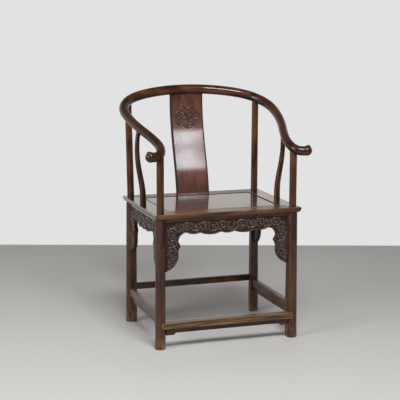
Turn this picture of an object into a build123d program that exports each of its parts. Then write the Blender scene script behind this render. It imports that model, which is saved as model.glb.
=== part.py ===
from build123d import *
import os

os.makedirs("parts", exist_ok=True)

# Hardwood horseshoe-back armchair, in millimetres.
# Floor is Z = 0, the chair faces -Y, and "right" is the +X side as seen from the front.

# ---------------------------------------------------------------- fits
FIT = 0.1                 # play round every tenon, tongue and key
TENON_END = 1.0           # space left beyond the end of a tenon
ROOT = 1.0                # a tenon starts this far inside its own piece

# ---------------------------------------------------------------- seat frame
SEAT_H = 520.0            # top of the frame above the floor
SEAT_W = 587.0            # across the moulded edges
SEAT_D = 464.0            # front to back over the moulded edges
FRAME_T = 32.0            # full thickness of the four rails
LONG_W = 72.0             # face width of the front and rear rails
SIDE_W = 65.0             # face width of the two side rails
LIP_T = 20.0              # height of the moulded lip
LIP_IN = 18.0             # the part below the lip stands back this far
LIP_TOP = (2.0, 0.0)      # lip profile: inset from the widest point, depth from the top
LIP_NOSE = (0.0, 5.0)
LIP_TURN = (1.0, 10.0)
LIP_BELLY = (3.6, 15.7)
LIP_FOOT = 8.5
CORNER_TENON_T = 10.5     # mitre tenons of the long rails
CORNER_TENON_W = 17.5
CORNER_TENON_X = 280.0
CORNER_TENON_DROP = 16.0  # top of the tenon below the seat
CORNER_TENON_CLEAR = 1.5  # wood between the tenon and the leg's inner face

# ---------------------------------------------------------------- floating panel
PANEL_T = 14.3
PANEL_LOW = 1.4           # panel face lies this far below the frame face
PANEL_GAP = 6.4           # open channel seen round the panel
PANEL_ARRIS = 1.2         # softened edges of the channel
GROOVE_T = 6.2
GROOVE_DEEP = 8.0
BATTEN_W = 30.0
BATTEN_H = 24.0
BATTEN_X = 95.0
BATTEN_TENON_W = 20.0
BATTEN_TENON_T = 10.0
BATTEN_TENON_L = 12.0
BATTEN_TENON_RISE = 2.0   # above the underside of the frame
DOVETAIL_H = 4.0
DOVETAIL_W = 18.0
DOVETAIL_FLARE = 2.0

# ---------------------------------------------------------------- legs and posts
LEG_FACE_X = 249.0        # plumb inner faces of the legs
LEG_FACE_Y = 187.5
LEG_R_TOP = 18.3          # outside of the leg is round and grows to the floor
LEG_R_FOOT = 20.4
LEG_ARRIS = 2.0
POST_R = 14.0             # front and rear posts above the seat
REAR_TOP_R = 13.4
POST_TENON_R = 8.0
UPRIGHT_TENON_L = 31.0    # from inside the post up to the centre of the crest rail
FRONT_JOIN = 0.9305       # share of the half rail where each upright meets it
REAR_JOIN = 0.360
SIDE_JOIN = 0.676

# ---------------------------------------------------------------- crest rail
CREST_HALF = [            # centre line from beside the splat round to the handgrip
    (169.6, 274.9, 930.0),
    (262.3, 227.0, 909.6),
    (303.7, 168.0, 884.7),
    (311.1, 89.2, 857.2),
    (288.6, -36.4, 816.4),
    (261.8, -134.7, 780.8),
    (258.4, -180.4, 761.4),
    (270.7, -213.4, 744.4),
    (312.0, -232.0, 738.6),
]
CREST_BACK = (0.0, 305.7, 940.3)
CREST_RADII = [           # share of the half rail from its middle, radius there
    (0.0, 19.4),
    (0.2, 19.2),
    (0.4, 18.7),
    (0.5, 17.9),
    (0.62, 16.9),
    (0.76, 16.7),
    (0.88, 16.9),
    (0.95, 17.6),
    (1.0, 18.4),
]
GRIP_BALL_R = 19.6        # rounded nose that ends each arm
CURL_R = 10.5             # little scroll that rolls up on the nose
CURL_OUT = 5.0
CURL_UP = 11.4
SCARF_REAR = 0.300        # scarf centres, as a share of the half rail from its middle
SCARF_ARM = 0.800
SCARF_L = 60.0
KEY_W = 8.0
RAIL_REACH = 40.0         # cutting tools reach this far past the rail's centre

# ---------------------------------------------------------------- side posts
SIDE_Y = -16.0
SIDE_CURVE = [(279.5, -12.0), (279.5, 10.0), (281.5, 62.0), (292.0, 125.0), (301.0, 190.0), (301.5, 245.0)]
SIDE_RADII = [(0.0, 12.5), (0.45, 10.6), (1.0, 7.8)]
SIDE_TENON_R = 6.0
SIDE_TENON_L = 16.0
SIDE_HEAD_R = 4.5

# ---------------------------------------------------------------- splat
SPLAT_W = 140.0
SPLAT_T = 12.0
SPLAT_CURVE = [           # distance behind the middle, height above the seat
    (212.3, -20.0),
    (215.5, 0.0),
    (224.3, 46.0),
    (236.6, 92.0),
    (262.2, 170.0),
    (287.0, 250.0),
    (296.3, 290.0),
    (302.5, 331.0),
]
SPLAT_TENON_W = 116.0
SPLAT_TENON_T = 6.0
SPLAT_FOOT_L = 15.0
SPLAT_HEAD_DROP = 6.8     # the tongue ends this far below the centre of the crest rail
SPLAT_ARRIS = 1.5

# ---------------------------------------------------------------- aprons and spandrels
APRON_T = 14.0
APRON_SET = 5.0           # face of the apron in front of the post centre line
APRON_END = 44.5          # apron depth where it meets the corner arch
ARCH_R = 33.0
SPAN_W = 51.0
SPAN_L = 190.5
MITRE = 45.0              # apron and spandrel meet half-way round the arch
TONGUE_T = 5.0
TONGUE_L = 5.0
TONGUE_STOP = 14.0
MITRE_TONGUE_L = 8.0
MITRE_TONGUE_SPAN = (0.3, 0.8)  # shares of the mitre, from the leg
FRONT_LOBES = [(111.0, 47.7, 51.5), (26.0, 48.4, 56.5)]
FRONT_MID = 54.0
MID_SWELL = (0.55, 0.7)   # where the middle lobe passes, as shares of its half width and depth
SIDE_LOBES = [(72.0, 52.0, 55.5), (28.0, 57.0, 63.5)]
SIDE_MID = 64.0
LEAF_TURN = (33.0, 18.0)  # the spandrel's leaf passes here: in from the leg, up from the tip
LEAF_H = 50.0             # the leaf's plumb edge starts this far above the tip
CUSP_FOOT = 118.0         # cusp of the spandrel: each is past its edge, below the frame
CUSP_SWELL = (3.0, 106.0)
CUSP_TIP = (9.0, 96.5)
CUSP_NECK = (5.5, 87.0)
REAR_APRON_H = 30.0
REAR_DROP = 22.0
REAR_DROP_W = 34.0
REAR_DROP_TURN = (24.5, 6.2)  # the end of the rear apron passes here: from the leg, up from its foot
REAR_TONGUE_STOP = 10.0

# ---------------------------------------------------------------- stretchers
FOOT_TOP = 103.0
FOOT_T = 23.0
FOOT_FRONT = -231.0
FOOT_BACK = -199.0
FOOT_EAR = 271.0          # ears of the footrest lap the front of the legs
FOOT_ROUND = 4.0
FOOT_EAR_ROUND = 10.0
SIDE_STR_TOP = 141.0
SIDE_STR_T = 28.0
SIDE_STR_W = 24.0
REAR_STR_TOP = 160.0
REAR_STR_T = 25.0
REAR_STR_W = 22.0
STR_ROUND = 6.0
STR_TENON_T = 9.0
STR_TENON_H = 15.0
STR_TENON_L = 13.0
LOW_APRON_T = 10.0
LOW_TONGUE_T = 5.0
FOOT_APRON_SET = 8.0      # in front of the post centre line
FOOT_APRON_H = 19.0
FOOT_APRON_LOBE = 8.0
FOOT_APRON_LOBE_L = 36.0
FOOT_LOBE_ARC = [(12.0, 0.0), (3.0, 2.0), (0.0, 6.0)]  # from the lobe's inner end, up from its foot
FOOT_LOBE_STEP = 3.0
SIDE_APRON_H = 24.0

# ---------------------------------------------------------------- worked-out places
FRAME_BOTTOM = SEAT_H - FRAME_T
LIP_BOTTOM = SEAT_H - LIP_T
POST_X = LEG_FACE_X + LEG_R_TOP
POST_Y = LEG_FACE_Y + LEG_R_TOP
OPEN_X = SEAT_W / 2 - SIDE_W
OPEN_Y = SEAT_D / 2 - LONG_W
PANEL_BOTTOM = SEAT_H - PANEL_LOW - PANEL_T
GROOVE_BOTTOM = PANEL_BOTTOM - FIT
FRONT_FACE = POST_Y + APRON_SET
SIDE_FACE = POST_X + APRON_SET
TENON_TOP = SEAT_H - CORNER_TENON_DROP
TENON_Y = LEG_FACE_Y - CORNER_TENON_CLEAR - CORNER_TENON_W / 2
TONGUE_CORE = (APRON_T - TONGUE_T) / 2
FOOT_APRON_Y = -POST_Y - FOOT_APRON_SET


def across(piece):
    """Mirror image on the other side of the chair."""
    return mirror(piece, about=Plane.YZ, mode=Mode.PRIVATE)


def behind(piece):
    """Mirror image at the back of the chair."""
    return mirror(piece, about=Plane.XZ, mode=Mode.PRIVATE)


def leg_section(radius):
    """Round outside, square inside; the square corner points to -X, +Y."""
    with BuildSketch() as section:
        Circle(radius)
        with Locations((-radius / 2, radius / 2)):
            Rectangle(radius, radius)
        fillet(section.vertices().sort_by(Axis.Y)[-2:].sort_by(Axis.X)[0], LEG_ARRIS)
    return section.sketch


def rail_section(width):
    """Moulded edge on the left, panel groove on the right; heights are from the floor."""
    top = SEAT_H
    nose, turn, belly = [(inset, top - down) for inset, down in (LIP_NOSE, LIP_TURN, LIP_BELLY)]
    with BuildSketch() as section:
        with BuildLine():
            ThreePointArc((LIP_TOP[0], top), nose, turn)
            ThreePointArc(turn, belly, (LIP_FOOT, LIP_BOTTOM))
            Polyline(
                (LIP_FOOT, LIP_BOTTOM),
                (LIP_IN, LIP_BOTTOM),
                (LIP_IN, FRAME_BOTTOM),
                (width, FRAME_BOTTOM),
                (width, GROOVE_BOTTOM),
                (width - GROOVE_DEEP, GROOVE_BOTTOM),
                (width - GROOVE_DEEP, GROOVE_BOTTOM + GROOVE_T),
                (width, GROOVE_BOTTOM + GROOVE_T),
                (width, top - PANEL_ARRIS),
                (width - PANEL_ARRIS, top),
                (LIP_TOP[0], top),
            )
        make_face()
    return section.sketch


def arch_point(half, angle):
    """Point of the quarter arch under the mitre, `angle` degrees round from its plumb end."""
    middle = Vector(half - SPAN_W - ARCH_R, -APRON_END - ARCH_R)
    return middle + Vector(ARCH_R, 0).rotate(Axis.Z, angle)


def apron_face(half, lobes, mid):
    """Upper apron between two legs, `half` from the middle; 0 is the underside of the frame."""
    with BuildSketch() as face:
        with BuildLine():
            Polyline((0, 0), (half, 0), arch_point(half, MITRE))
            ThreePointArc(
                arch_point(half, MITRE), arch_point(half, (MITRE + 90) / 2), arch_point(half, 90)
            )
            start = arch_point(half, 90)
            for cusp_x, cusp_down, low in lobes:
                cusp = Vector(cusp_x, -cusp_down)
                ThreePointArc(start, ((start.X + cusp.X) / 2, -low), cusp)
                start = cusp
            across_share, down_share = MID_SWELL
            ThreePointArc(
                start, (start.X * across_share, start.Y - (mid + start.Y) * down_share), (0, -mid)
            )
            Line((0, -mid), (0, 0))
        make_face()
        mirror(about=Plane.YZ)
    return face.sketch


def spandrel_face(half):
    """Hanging bracket beside the leg, mitred to the apron and tipped like a leaf."""
    inner = half - SPAN_W
    swell, cusp, neck = [(inner - out, -down) for out, down in (CUSP_SWELL, CUSP_TIP, CUSP_NECK)]
    with BuildSketch() as face:
        with BuildLine():
            Polyline(arch_point(half, MITRE), (half, 0), (half, -SPAN_L))
            ThreePointArc(
                (half, -SPAN_L),
                (half - LEAF_TURN[0], LEAF_TURN[1] - SPAN_L),
                (inner, LEAF_H - SPAN_L),
            )
            Line((inner, LEAF_H - SPAN_L), (inner, -CUSP_FOOT))
            ThreePointArc((inner, -CUSP_FOOT), swell, cusp)
            ThreePointArc(cusp, neck, arch_point(half, 0))
            ThreePointArc(
                arch_point(half, 0), arch_point(half, MITRE / 2), arch_point(half, MITRE)
            )
        make_face()
    return face.sketch


def mitre_tongue(half, play):
    """Tongue on the apron's mitre that enters the spandrel."""
    top = Vector(half, 0)
    mitre = arch_point(half, MITRE) - top
    along = mitre.normalized()
    outward = along.rotate(Axis.Z, 90)
    first = top + mitre * MITRE_TONGUE_SPAN[0] - along * play
    last = top + mitre * MITRE_TONGUE_SPAN[1] + along * play
    back, front = outward * -ROOT, outward * (MITRE_TONGUE_L + play)
    with BuildSketch() as face:
        with BuildLine():
            Polyline(first + back, last + back, last + front, first + front, close=True)
        make_face()
    return face.sketch


def block(xs, ys, zs, play=0.0):
    """Square-edged solid between the given limits, grown all round by `play`."""
    with BuildPart() as piece:
        with BuildSketch(Plane.XY.offset(zs[0] - play)):
            with Locations(((xs[0] + xs[1]) / 2, (ys[0] + ys[1]) / 2)):
                Rectangle(xs[1] - xs[0] + 2 * play, ys[1] - ys[0] + 2 * play)
        extrude(amount=zs[1] - zs[0] + 2 * play)
    return piece.part


def about(middle, size):
    """Limits of a size centred on `middle`."""
    return (middle - size / 2, middle + size / 2)


# ---------------------------------------------------------------- shared limits of tenons and tongues
CORNER_TENON = (
    (OPEN_X, CORNER_TENON_X),
    about(-TENON_Y, CORNER_TENON_W),
    (TENON_TOP - CORNER_TENON_T, TENON_TOP),
)
FOOT_TENON = (
    (LEG_FACE_X - ROOT, LEG_FACE_X + STR_TENON_L),
    about(-POST_Y, STR_TENON_T),
    about(FOOT_TOP - FOOT_T / 2, STR_TENON_H),
)
REAR_TENON = (
    (LEG_FACE_X - ROOT, LEG_FACE_X + STR_TENON_L),
    about(POST_Y, STR_TENON_T),
    about(REAR_STR_TOP - REAR_STR_T / 2, STR_TENON_H),
)
SIDE_TENON = (
    about(POST_X, STR_TENON_T),
    (-LEG_FACE_Y - STR_TENON_L, -LEG_FACE_Y + ROOT),
    about(SIDE_STR_TOP - SIDE_STR_T / 2, STR_TENON_H),
)
TONGUE_Z = (FRAME_BOTTOM - SPAN_L + TONGUE_STOP, FRAME_BOTTOM - TONGUE_STOP)
FRONT_TONGUE = (
    (LEG_FACE_X - ROOT, LEG_FACE_X + TONGUE_L),
    about(-FRONT_FACE + APRON_T / 2, TONGUE_T),
    TONGUE_Z,
)
SIDE_TONGUE = (
    about(SIDE_FACE - APRON_T / 2, TONGUE_T),
    (-LEG_FACE_Y - TONGUE_L, -LEG_FACE_Y + ROOT),
    TONGUE_Z,
)
REAR_TONGUE = (
    (LEG_FACE_X - ROOT, LEG_FACE_X + TONGUE_L),
    about(FRONT_FACE - APRON_T / 2, TONGUE_T),
    (FRAME_BOTTOM - REAR_APRON_H - REAR_DROP + REAR_TONGUE_STOP, FRAME_BOTTOM - TONGUE_STOP),
)
FRONT_TOP_TONGUE = (
    (TONGUE_STOP - LEG_FACE_X, LEG_FACE_X - TONGUE_STOP),
    about(-FRONT_FACE + APRON_T / 2, TONGUE_T),
    (FRAME_BOTTOM - ROOT, FRAME_BOTTOM + TONGUE_L),
)
REAR_TOP_TONGUE = (
    FRONT_TOP_TONGUE[0],
    about(FRONT_FACE - APRON_T / 2, TONGUE_T),
    FRONT_TOP_TONGUE[2],
)
SIDE_TOP_TONGUE = (
    about(SIDE_FACE - APRON_T / 2, TONGUE_T),
    (TONGUE_STOP - LEG_FACE_Y, LEG_FACE_Y - TONGUE_STOP),
    (FRAME_BOTTOM - ROOT, FRAME_BOTTOM + TONGUE_L),
)
FOOT_APRON_TONGUE = (
    (TONGUE_STOP - LEG_FACE_X, LEG_FACE_X - TONGUE_STOP),
    about(FOOT_APRON_Y, LOW_TONGUE_T),
    (FOOT_TOP - FOOT_T - ROOT, FOOT_TOP - FOOT_T + TONGUE_L),
)
SIDE_APRON_TONGUE = (
    about(POST_X, LOW_TONGUE_T),
    (TONGUE_STOP - LEG_FACE_Y, LEG_FACE_Y - TONGUE_STOP),
    (SIDE_STR_TOP - SIDE_STR_T - ROOT, SIDE_STR_TOP - SIDE_STR_T + TONGUE_L),
)
SPLAT_FOOT = (
    about(0, SPLAT_TENON_W),
    about(SPLAT_CURVE[1][0], SPLAT_TENON_T),
    (SEAT_H - SPLAT_FOOT_L, SEAT_H + ROOT),
)
BATTEN_TENON = (
    about(BATTEN_X, BATTEN_TENON_W),
    (-OPEN_Y - BATTEN_TENON_L, -OPEN_Y + ROOT),
    (
        FRAME_BOTTOM + BATTEN_TENON_RISE,
        FRAME_BOTTOM + BATTEN_TENON_RISE + BATTEN_TENON_T,
    ),
)

# ---------------------------------------------------------------- crest rail as one bent form
crest_points = [(-x, y, z) for x, y, z in reversed(CREST_HALF)] + [CREST_BACK] + CREST_HALF
crest_line = Spline(*crest_points)


def crest_at(share):
    """Point parameter of the rail, 0 at the middle of the back and 1 at the right handgrip."""
    return 0.5 + share / 2


def crest_point(share):
    """Point on the rail's centre line."""
    return crest_line @ crest_at(share)


def lap_plane(share):
    """Plane that halves the rail at a scarf: X along the rail, Z up."""
    along = crest_line % crest_at(share)
    up = Vector(0, 0, 1) - along * along.Z
    return Plane(origin=crest_point(share), x_dir=along, z_dir=up)


def cross_plane(share, forward=0.0):
    """Plane square to the rail, moved `forward` along it."""
    along = crest_line % crest_at(share)
    return Plane(origin=crest_point(share) + along * forward, z_dir=along)


def lap_half(share, upper):
    """Half of the rail over one scarf, above or below the lap face."""
    with BuildPart() as half:
        with BuildSketch(lap_plane(share)):
            Rectangle(SCARF_L + FIT, 2 * RAIL_REACH)
        extrude(amount=RAIL_REACH if upper else -RAIL_REACH)
    return half.part


def key_hole(share, play=0.0):
    """Square key driven level through the middle of a scarf."""
    lap = lap_plane(share)
    with BuildPart() as hole:
        with BuildSketch(Plane(origin=lap.origin, x_dir=lap.x_dir, z_dir=lap.y_dir)):
            Rectangle(KEY_W + 2 * play, KEY_W + 2 * play)
        extrude(amount=RAIL_REACH, both=True)
    return hole.part


def upright_tenon(share, radius, play=0.0):
    """Round tenon that stands up into the rail above a post."""
    join = crest_point(share)
    with BuildPart() as pin:
        with BuildSketch(Plane((join.X, join.Y, join.Z - UPRIGHT_TENON_L))):
            Circle(radius + play)
        extrude(amount=UPRIGHT_TENON_L + (TENON_END if play else 0.0))
    return pin.part


with BuildPart() as crest_blank:
    with BuildLine():
        add(crest_line)
    for share, radius in [(-s, r) for s, r in reversed(CREST_RADII[1:])] + CREST_RADII:
        with BuildSketch(cross_plane(share)):
            Circle(radius)
    sweep(multisection=True)
    for side in (-1, 1):
        tip = crest_point(side)
        with Locations(tip):
            Sphere(GRIP_BALL_R)
        with Locations(tip + Vector(side * CURL_OUT, 0, CURL_UP)):
            Sphere(CURL_R)

# ---------------------------------------------------------------- splat, bent to the back
splat_line = Spline(*[(0, y, SEAT_H + z) for y, z in SPLAT_CURVE], (0, CREST_BACK[1], CREST_BACK[2]))
splat_start = Plane(origin=splat_line @ 0, x_dir=(1, 0, 0), z_dir=splat_line % 0)


def splat_tongue(play=0.0):
    """Thin core of the splat that enters the crest rail."""
    stop = CREST_BACK[2] - SPLAT_HEAD_DROP + (TENON_END if play else 0.0)
    with BuildPart() as tongue:
        with BuildLine():
            add(splat_line)
        with BuildSketch(splat_start):
            Rectangle(SPLAT_TENON_W + 2 * play, SPLAT_TENON_T + 2 * play)
        sweep()
        split(bisect_by=Plane.XY.offset(CREST_BACK[2] - RAIL_REACH), keep=Keep.TOP)
        split(bisect_by=Plane.XY.offset(stop), keep=Keep.BOTTOM)
    return tongue.part


with BuildPart() as back_splat:
    with BuildLine():
        add(splat_line)
    with BuildSketch(splat_start):
        RectangleRounded(SPLAT_W, SPLAT_T, SPLAT_ARRIS)
    sweep()
    split(bisect_by=Plane.XY.offset(SEAT_H), keep=Keep.TOP)
    add(crest_blank.part, mode=Mode.SUBTRACT)
    add(splat_tongue())
    add(block(*SPLAT_FOOT))

# ---------------------------------------------------------------- five members of the crest rail
with BuildPart() as crest_centre:
    add(crest_blank.part)
    split(bisect_by=Plane.YZ, keep=Keep.TOP)
    split(bisect_by=cross_plane(SCARF_REAR, SCARF_L / 2), keep=Keep.BOTTOM)
    add(lap_half(SCARF_REAR, upper=False), mode=Mode.SUBTRACT)
    add(key_hole(SCARF_REAR, FIT), mode=Mode.SUBTRACT)
    mirror(about=Plane.YZ)
    add(splat_tongue(FIT), mode=Mode.SUBTRACT)

with BuildPart() as crest_side_right:
    add(crest_blank.part)
    split(bisect_by=Plane.YZ, keep=Keep.TOP)
    split(bisect_by=cross_plane(SCARF_REAR, -SCARF_L / 2), keep=Keep.TOP)
    split(bisect_by=cross_plane(SCARF_ARM, SCARF_L / 2), keep=Keep.BOTTOM)
    add(lap_half(SCARF_REAR, upper=True), mode=Mode.SUBTRACT)
    add(lap_half(SCARF_ARM, upper=False), mode=Mode.SUBTRACT)
    add(key_hole(SCARF_REAR, FIT), mode=Mode.SUBTRACT)
    add(key_hole(SCARF_ARM, FIT), mode=Mode.SUBTRACT)
    add(upright_tenon(REAR_JOIN, POST_TENON_R, FIT), mode=Mode.SUBTRACT)
    add(upright_tenon(SIDE_JOIN, SIDE_HEAD_R, FIT), mode=Mode.SUBTRACT)

with BuildPart() as handgrip_right:
    add(crest_blank.part)
    split(bisect_by=Plane.YZ, keep=Keep.TOP)
    split(bisect_by=cross_plane(SCARF_ARM, -SCARF_L / 2), keep=Keep.TOP)
    add(lap_half(SCARF_ARM, upper=True), mode=Mode.SUBTRACT)
    add(key_hole(SCARF_ARM, FIT), mode=Mode.SUBTRACT)
    add(upright_tenon(FRONT_JOIN, POST_TENON_R, FIT), mode=Mode.SUBTRACT)

with BuildPart() as crest_scarf_keys:
    for share in (SCARF_REAR, SCARF_ARM):
        add(key_hole(share))
    add(crest_blank.part, mode=Mode.INTERSECT)
    mirror(about=Plane.YZ)

# ---------------------------------------------------------------- legs, each one piece with its post
with BuildPart() as leg_blank:
    for height, radius in ((0, LEG_R_FOOT), (LIP_BOTTOM, LEG_R_TOP)):
        with BuildSketch(Plane((LEG_FACE_X + radius, -LEG_FACE_Y - radius, height))):
            add(leg_section(radius))
    loft()

rear_leg_blank = behind(leg_blank.part)
front_join = crest_point(FRONT_JOIN)
rear_join = crest_point(REAR_JOIN)
side_join = crest_point(SIDE_JOIN)

with BuildPart() as front_leg_right:
    add(leg_blank.part)
    with BuildSketch(Plane((POST_X, -POST_Y, LIP_BOTTOM))):
        Circle(POST_R)
    extrude(amount=front_join.Z - LIP_BOTTOM)
    add(crest_blank.part, mode=Mode.SUBTRACT)
    add(upright_tenon(FRONT_JOIN, POST_TENON_R))
    add(block(*FOOT_TENON, FIT), mode=Mode.SUBTRACT)
    add(block(*SIDE_TENON, FIT), mode=Mode.SUBTRACT)
    add(block(*FRONT_TONGUE, FIT), mode=Mode.SUBTRACT)
    add(block(*SIDE_TONGUE, FIT), mode=Mode.SUBTRACT)

with BuildPart() as rear_leg_right:
    add(rear_leg_blank)
    with BuildSketch(Plane((POST_X, POST_Y, LIP_BOTTOM))):
        Circle(POST_R)
    extrude(amount=LIP_T)
    with BuildSketch(Plane((POST_X, POST_Y, SEAT_H))):
        Circle(POST_R)
    with BuildSketch(Plane(rear_join)):
        Circle(REAR_TOP_R)
    loft()
    add(crest_blank.part, mode=Mode.SUBTRACT)
    add(upright_tenon(REAR_JOIN, POST_TENON_R))
    add(block(*REAR_TENON, FIT), mode=Mode.SUBTRACT)
    add(behind(block(*SIDE_TENON, FIT)), mode=Mode.SUBTRACT)
    add(behind(block(*SIDE_TONGUE, FIT)), mode=Mode.SUBTRACT)
    add(block(*REAR_TONGUE, FIT), mode=Mode.SUBTRACT)

# ---------------------------------------------------------------- side posts under the arms
side_line = Spline(
    *[(x, SIDE_Y, SEAT_H + z) for x, z in SIDE_CURVE],
    (side_join.X, side_join.Y, side_join.Z),
)
with BuildPart() as side_post_right:
    with BuildLine():
        add(side_line)
    for along, radius in SIDE_RADII:
        with BuildSketch(Plane(origin=side_line @ along, z_dir=side_line % along)):
            Circle(radius)
    sweep(multisection=True)
    split(bisect_by=Plane.XY.offset(SEAT_H), keep=Keep.TOP)
    add(crest_blank.part, mode=Mode.SUBTRACT)
    add(upright_tenon(SIDE_JOIN, SIDE_HEAD_R))
    with BuildSketch(Plane((SIDE_CURVE[0][0], SIDE_Y, SEAT_H - SIDE_TENON_L))):
        Circle(SIDE_TENON_R)
    extrude(amount=SIDE_TENON_L + ROOT)

# ---------------------------------------------------------------- mitred seat frame
FRONT_RAIL_PLANE = Plane(origin=(0, -SEAT_D / 2, 0), x_dir=(0, 1, 0), z_dir=(1, 0, 0))
SIDE_RAIL_PLANE = Plane(origin=(SEAT_W / 2, 0, 0), x_dir=(-1, 0, 0), z_dir=(0, 1, 0))
OUT_X = SEAT_W / 2
OUT_Y = SEAT_D / 2

with BuildPart() as long_rail_blank:
    with BuildSketch(FRONT_RAIL_PLANE):
        add(rail_section(LONG_W))
    extrude(amount=OUT_X, both=True)
    with BuildSketch(Plane.XY):
        Polygon((-OUT_X, -OUT_Y), (OUT_X, -OUT_Y), (OPEN_X, -OPEN_Y), (-OPEN_X, -OPEN_Y), align=None)
    extrude(amount=SEAT_H, mode=Mode.INTERSECT)
    add(block(*CORNER_TENON))
    add(across(block(*CORNER_TENON)))
    for side in (-1, 1):
        with BuildSketch(Plane((side * POST_X, -POST_Y, FRAME_BOTTOM))):
            Circle(POST_R + FIT)
        extrude(amount=FRAME_T, mode=Mode.SUBTRACT)
    add(leg_blank.part, mode=Mode.SUBTRACT)
    add(across(leg_blank.part), mode=Mode.SUBTRACT)
    for side in (-1, 1):
        xs = about(side * BATTEN_X, BATTEN_TENON_W)
        add(block(xs, BATTEN_TENON[1], BATTEN_TENON[2], FIT), mode=Mode.SUBTRACT)

with BuildPart() as seat_rail_front:
    add(long_rail_blank.part)
    add(block(*FRONT_TOP_TONGUE, FIT), mode=Mode.SUBTRACT)

with BuildPart() as seat_rail_rear:
    add(behind(long_rail_blank.part))
    add(block(*REAR_TOP_TONGUE, FIT), mode=Mode.SUBTRACT)
    add(block(*SPLAT_FOOT, FIT), mode=Mode.SUBTRACT)

with BuildPart() as seat_rail_right:
    with BuildSketch(SIDE_RAIL_PLANE):
        add(rail_section(SIDE_W))
    extrude(amount=OUT_Y, both=True)
    with BuildSketch(Plane.XY):
        Polygon((OUT_X, -OUT_Y), (OUT_X, OUT_Y), (OPEN_X, OPEN_Y), (OPEN_X, -OPEN_Y), align=None)
    extrude(amount=SEAT_H, mode=Mode.INTERSECT)
    for flip in (False, True):
        tenon = block(*CORNER_TENON, FIT)
        add(behind(tenon) if flip else tenon, mode=Mode.SUBTRACT)
        add(rear_leg_blank if flip else leg_blank.part, mode=Mode.SUBTRACT)
        with BuildSketch(Plane((POST_X, POST_Y if flip else -POST_Y, FRAME_BOTTOM))):
            Circle(POST_R + FIT)
        extrude(amount=FRAME_T, mode=Mode.SUBTRACT)
    add(block(*SIDE_TOP_TONGUE, FIT), mode=Mode.SUBTRACT)
    with BuildSketch(Plane((SIDE_CURVE[0][0], SIDE_Y, SEAT_H - SIDE_TENON_L - TENON_END))):
        Circle(SIDE_TENON_R + FIT)
    extrude(amount=SIDE_TENON_L + 2 * TENON_END, mode=Mode.SUBTRACT)

# ---------------------------------------------------------------- floating panel and its battens
with BuildPart() as seat_batten_right:
    add(block(about(BATTEN_X, BATTEN_W), (-OPEN_Y, OPEN_Y), (PANEL_BOTTOM - BATTEN_H, PANEL_BOTTOM)))
    add(block(*BATTEN_TENON))
    add(behind(block(*BATTEN_TENON)))
    with BuildSketch(Plane(origin=(BATTEN_X, 0, PANEL_BOTTOM), x_dir=(1, 0, 0), z_dir=(0, -1, 0))):
        half_foot = DOVETAIL_W / 2
        half_head = half_foot + DOVETAIL_FLARE
        Polygon(
            (-half_foot, 0), (half_foot, 0), (half_head, DOVETAIL_H), (-half_head, DOVETAIL_H), align=None
        )
    extrude(amount=OPEN_Y, both=True)

with BuildPart() as seat_panel:
    reach = GROOVE_DEEP - TENON_END
    add(
        block(
            (-OPEN_X - reach, OPEN_X + reach),
            (-OPEN_Y - reach, OPEN_Y + reach),
            (PANEL_BOTTOM, PANEL_BOTTOM + GROOVE_T - 2 * FIT),
        )
    )
    add(
        block(
            (-OPEN_X + PANEL_GAP, OPEN_X - PANEL_GAP),
            (-OPEN_Y + PANEL_GAP, OPEN_Y - PANEL_GAP),
            (PANEL_BOTTOM, PANEL_BOTTOM + PANEL_T),
        )
    )
    chamfer(seat_panel.faces().sort_by(Axis.Z)[-1].edges(), PANEL_ARRIS)
    for side in (-1, 1):
        with BuildSketch(Plane(origin=(side * BATTEN_X, 0, PANEL_BOTTOM), x_dir=(1, 0, 0), z_dir=(0, -1, 0))):
            half_foot = DOVETAIL_W / 2 + FIT
            half_head = half_foot + DOVETAIL_FLARE
            top = DOVETAIL_H + FIT
            Polygon((-half_foot, 0), (half_foot, 0), (half_head, top), (-half_head, top), align=None)
        extrude(amount=OUT_Y, both=True, mode=Mode.SUBTRACT)

# ---------------------------------------------------------------- aprons and spandrels
def front_at(depth):
    """Front apron plane moved `depth` into the board, level with the underside of the frame."""
    return Plane(origin=(0, -FRONT_FACE + depth, FRAME_BOTTOM), x_dir=(1, 0, 0), z_dir=(0, -1, 0))


def right_at(depth):
    """Right apron plane; X runs to the rear."""
    return Plane(origin=(SIDE_FACE - depth, 0, FRAME_BOTTOM), x_dir=(0, 1, 0), z_dir=(1, 0, 0))


with BuildPart() as front_apron:
    with BuildSketch(front_at(0)):
        add(apron_face(LEG_FACE_X, FRONT_LOBES, FRONT_MID))
    extrude(amount=-APRON_T)
    with BuildSketch(front_at(TONGUE_CORE)):
        add(mitre_tongue(LEG_FACE_X, 0))
        mirror(about=Plane.YZ)
    extrude(amount=-TONGUE_T)
    add(block(*FRONT_TOP_TONGUE))

with BuildPart() as front_spandrel_right:
    with BuildSketch(front_at(0)):
        add(spandrel_face(LEG_FACE_X))
    extrude(amount=-APRON_T)
    with BuildSketch(front_at(TONGUE_CORE - FIT)):
        add(mitre_tongue(LEG_FACE_X, FIT))
    extrude(amount=-TONGUE_T - 2 * FIT, mode=Mode.SUBTRACT)
    add(block(*FRONT_TONGUE))

with BuildPart() as side_apron_right:
    with BuildSketch(right_at(0)):
        add(apron_face(LEG_FACE_Y, SIDE_LOBES, SIDE_MID))
    extrude(amount=-APRON_T)
    with BuildSketch(right_at(TONGUE_CORE)):
        add(mitre_tongue(LEG_FACE_Y, 0))
        mirror(about=Plane.YZ)
    extrude(amount=-TONGUE_T)
    add(block(*SIDE_TOP_TONGUE))

with BuildPart() as side_spandrel_rear_right:
    with BuildSketch(right_at(0)):
        add(spandrel_face(LEG_FACE_Y))
    extrude(amount=-APRON_T)
    with BuildSketch(right_at(TONGUE_CORE - FIT)):
        add(mitre_tongue(LEG_FACE_Y, FIT))
    extrude(amount=-TONGUE_T - 2 * FIT, mode=Mode.SUBTRACT)
    add(behind(block(*SIDE_TONGUE)))

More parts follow.
